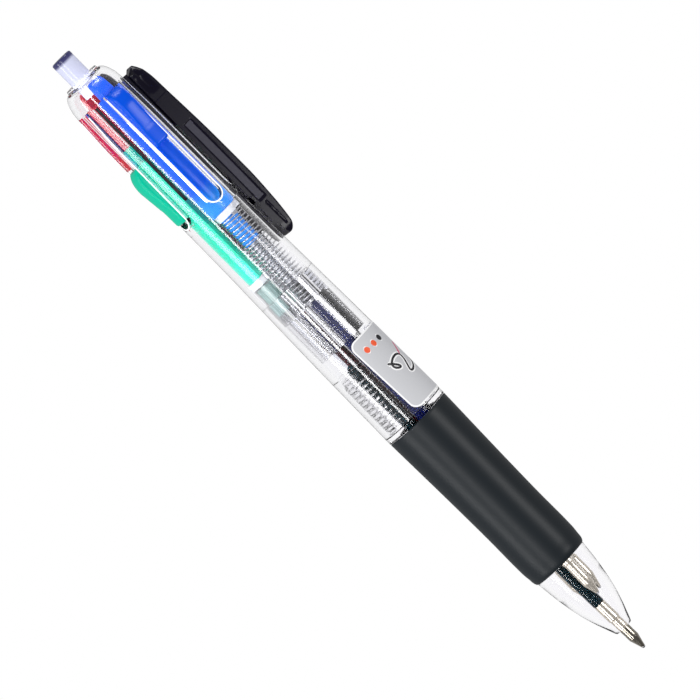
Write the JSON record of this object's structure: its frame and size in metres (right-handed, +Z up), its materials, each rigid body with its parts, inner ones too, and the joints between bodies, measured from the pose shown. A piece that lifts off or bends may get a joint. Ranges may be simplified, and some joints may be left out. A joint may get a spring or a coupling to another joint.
{
  "type": "multicolor click pen",
  "caption": "Multicolor retractable ballpoint pen: clear barrel with coloured slide buttons, sprung refills, clip, label and a screw-on nose with a rubber grip.",
  "frame": {"origin": "under the middle of the pen's box, on the surface the pen lies on", "axes": "+X along the pen's axis from the rear plug to the writing tip, +Z up with the blue button on top, +Y towards the clip"},
  "size_m": [0.146, 0.0164, 0.0132],
  "materials": {
    "clear_plastic": "clear, polished",
    "smoke_plastic": "pale violet-grey, translucent",
    "blue_plastic": "translucent blue, gloss",
    "black_plastic": "near-black, gloss",
    "green_plastic": "translucent green, gloss",
    "red_plastic": "translucent red, gloss",
    "spring_steel": "drawn wire",
    "white_plastic": "plain",
    "refill_tube": "milky clear",
    "ink_blue": "liquid",
    "ink_black": "liquid",
    "ink_green": "liquid",
    "ink_red": "liquid",
    "nickel_silver": "turned, bright",
    "steel_ball": "polished",
    "grip_rubber": "soft matte charcoal",
    "label_film": "printed film"
  },
  "bodies": {
    "barrel": {"rear_barrel": "clear_plastic", "end_plug": "smoke_plastic", "spring_seat": "clear_plastic", "label": "label_film"},
    "front_section": {"front_barrel": "clear_plastic", "grip": "grip_rubber"},
    "blue_button": {"blue_slider": "blue_plastic", "blue_washer": "white_plastic", "blue_spring": "spring_steel"},
    "blue_refill": {"blue_tube": "refill_tube", "blue_ink": "ink_blue", "blue_tip": "nickel_silver", "blue_ball": "steel_ball"},
    "black_button": {"black_slider": "black_plastic", "black_washer": "white_plastic", "black_spring": "spring_steel"},
    "black_refill": {"black_tube": "refill_tube", "black_ink": "ink_black", "black_tip": "nickel_silver", "black_ball": "steel_ball"},
    "green_button": {"green_slider": "green_plastic", "green_washer": "white_plastic", "green_spring": "spring_steel"},
    "green_refill": {"green_tube": "refill_tube", "green_ink": "ink_green", "green_tip": "nickel_silver", "green_ball": "steel_ball"},
    "red_button": {"red_slider": "red_plastic", "red_washer": "white_plastic", "red_spring": "spring_steel"},
    "red_refill": {"red_tube": "refill_tube", "red_ink": "ink_red", "red_tip": "nickel_silver", "red_ball": "steel_ball"},
    "clip": {"clip": "black_plastic"}
  },
  "joints": [
    {"name": "blue_slide", "type": "slide", "parent": "barrel", "child": "blue_button", "axis": [1, 0, 0], "range_m": [0, 0.0128], "stiffness_N_per_m": 150, "springref_m": -0.005, "deforming": ["blue_spring"]},
    {"name": "black_slide", "type": "slide", "parent": "barrel", "child": "black_button", "axis": [1, 0, 0], "range_m": [0, 0.0128], "stiffness_N_per_m": 150, "springref_m": -0.005, "deforming": ["black_spring"]},
    {"name": "green_slide", "type": "slide", "parent": "barrel", "child": "green_button", "axis": [1, 0, 0], "range_m": [-0.0128, 0], "deforming": ["green_spring"]},
    {"name": "red_slide", "type": "slide", "parent": "barrel", "child": "red_button", "axis": [1, 0, 0], "range_m": [0, 0.0128], "stiffness_N_per_m": 150, "springref_m": -0.005, "deforming": ["red_spring"]},
    {"name": "blue_refill_bend", "type": "hinge", "parent": "blue_button", "child": "blue_refill", "pos_m": [-0.03327, -0.0003, 0.00926], "axis": [0, 0.9018, -0.4321], "range_deg": [0, 1.49], "deforming": ["blue_tube", "blue_ink", "blue_tip", "blue_ball"]},
    {"name": "black_refill_bend", "type": "hinge", "parent": "black_button", "child": "black_refill", "pos_m": [-0.03327, 0.00108, 0.00533], "axis": [0, -0.4321, -0.9018], "range_deg": [0, 1.49], "deforming": ["black_tube", "black_ink", "black_tip", "black_ball"]},
    {"name": "green_refill_bend", "type": "hinge", "parent": "green_button", "child": "green_refill", "pos_m": [-0.02047, -0.00424, 0.00788], "axis": [0, 0.4321, 0.9018], "range_deg": [-1.49, 0], "deforming": ["green_tube", "green_ink", "green_tip", "green_ball"]},
    {"name": "red_refill_bend", "type": "hinge", "parent": "red_button", "child": "red_refill", "pos_m": [-0.03327, -0.00285, 0.00394], "axis": [0, -0.9018, 0.4321], "range_deg": [0, 1.49], "deforming": ["red_tube", "red_ink", "red_tip", "red_ball"]},
    {"name": "clip_flex", "type": "hinge", "parent": "black_button", "child": "clip", "pos_m": [-0.05577, 0.00686, 0.00256], "axis": [0, 0.4321, 0.9018], "range_deg": [0, 5], "stiffness_Nm_per_rad": 1.9},
    {"name": "front_unscrew", "type": "slide", "parent": "barrel", "child": "front_section", "axis": [1, 0, 0], "range_m": [0, 0.0125]}
  ],
  "couplings": [
    {"joint": "blue_refill_bend", "follows": "blue_slide", "rad_per_m": 2.0289},
    {"joint": "black_refill_bend", "follows": "black_slide", "rad_per_m": 2.0289},
    {"joint": "green_refill_bend", "follows": "green_slide", "rad_per_m": 2.0289},
    {"joint": "red_refill_bend", "follows": "red_slide", "rad_per_m": 2.0289}
  ]
}
